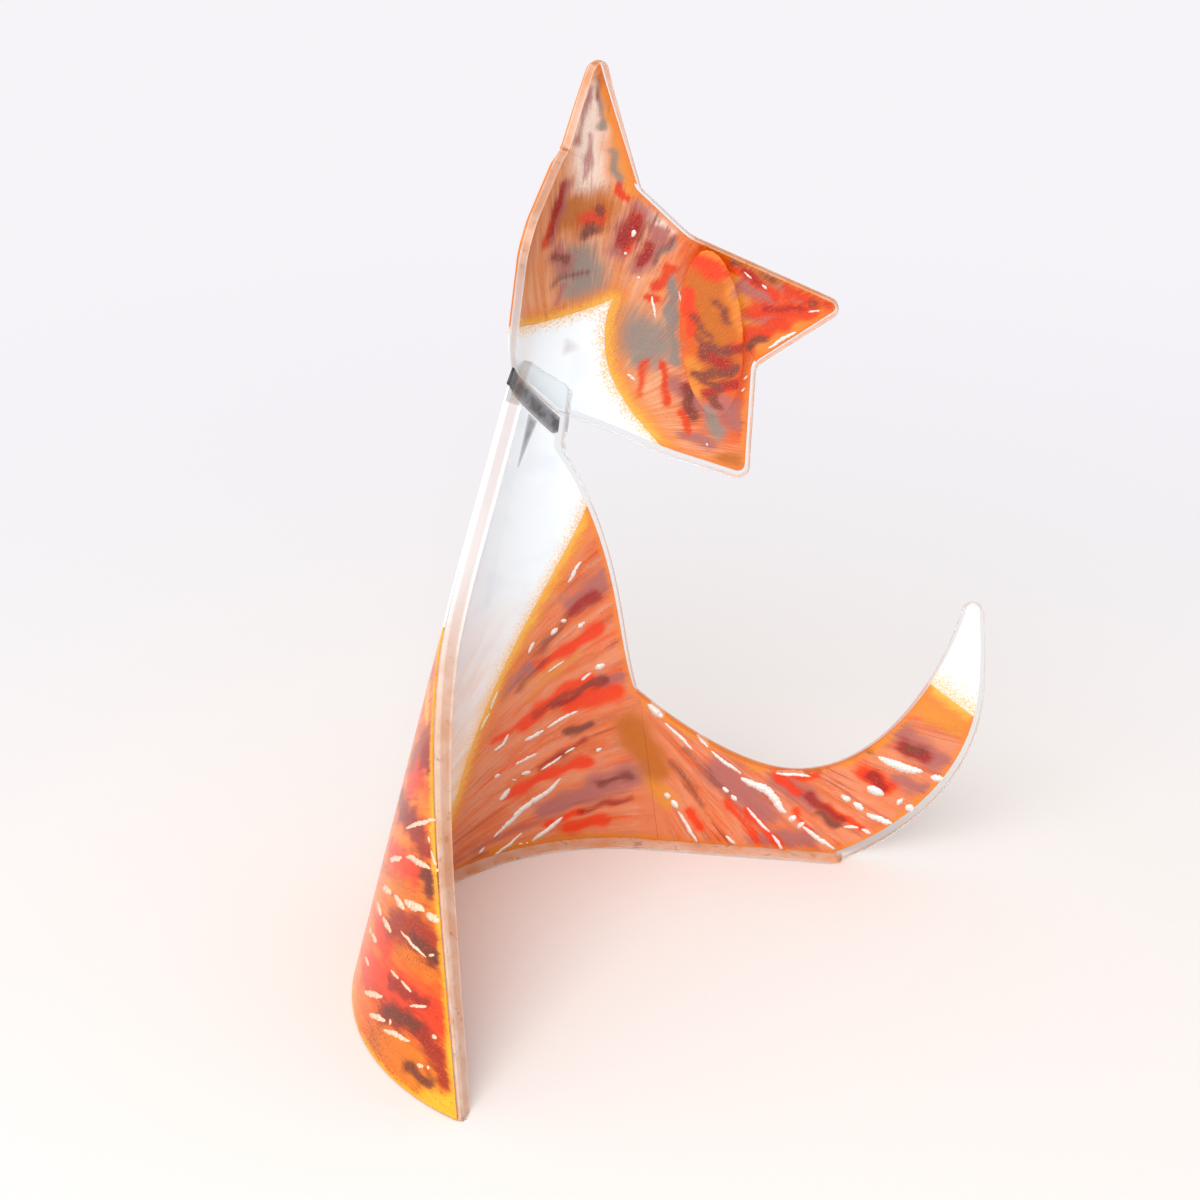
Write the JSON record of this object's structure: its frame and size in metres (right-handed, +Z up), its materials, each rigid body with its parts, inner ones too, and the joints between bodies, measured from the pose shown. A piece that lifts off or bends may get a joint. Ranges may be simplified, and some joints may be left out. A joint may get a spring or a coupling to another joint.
{
  "type": "cat figurine",
  "caption": "Seated cat figurine of two bent sheets of clear glass, the head lapped on the neck, with fused orange, white and grey colour fields and an upswept tail.",
  "frame": {"origin": "on the floor, under the middle of the bounding box", "axes": "+Z up, +X along the flat wing towards the tail, +Y out of the front face of the flat wing"},
  "size_m": [0.1648, 0.1432, 0.2381],
  "materials": {
    "clear_glass": "fire-polished, clear",
    "white_glass": "glossy opal",
    "orange_glass": "glossy, streaked",
    "rust_glass": "glossy, streaked",
    "amber_glass": "glossy, streaked",
    "smoke_glass": "glossy",
    "black_glass": "glossy"
  },
  "bodies": {
    "root": {"body_glass": "clear_glass", "head_glass": "clear_glass", "chest_bib": "white_glass", "left_haunch_colour": "orange_glass", "right_haunch_colour": "orange_glass", "tail_colour": "rust_glass", "tail_tip_white": "white_glass", "muzzle_white": "white_glass", "face_colour": "amber_glass", "left_ear_colour": "orange_glass", "right_ear_colour": "rust_glass", "right_ear_patch": "rust_glass", "left_eye": "smoke_glass", "right_eye": "smoke_glass", "nose": "smoke_glass", "left_whisker_mark": "smoke_glass", "right_whisker_mark": "smoke_glass", "collar": "black_glass", "collar_tag": "smoke_glass"}
  },
  "joints": []
}
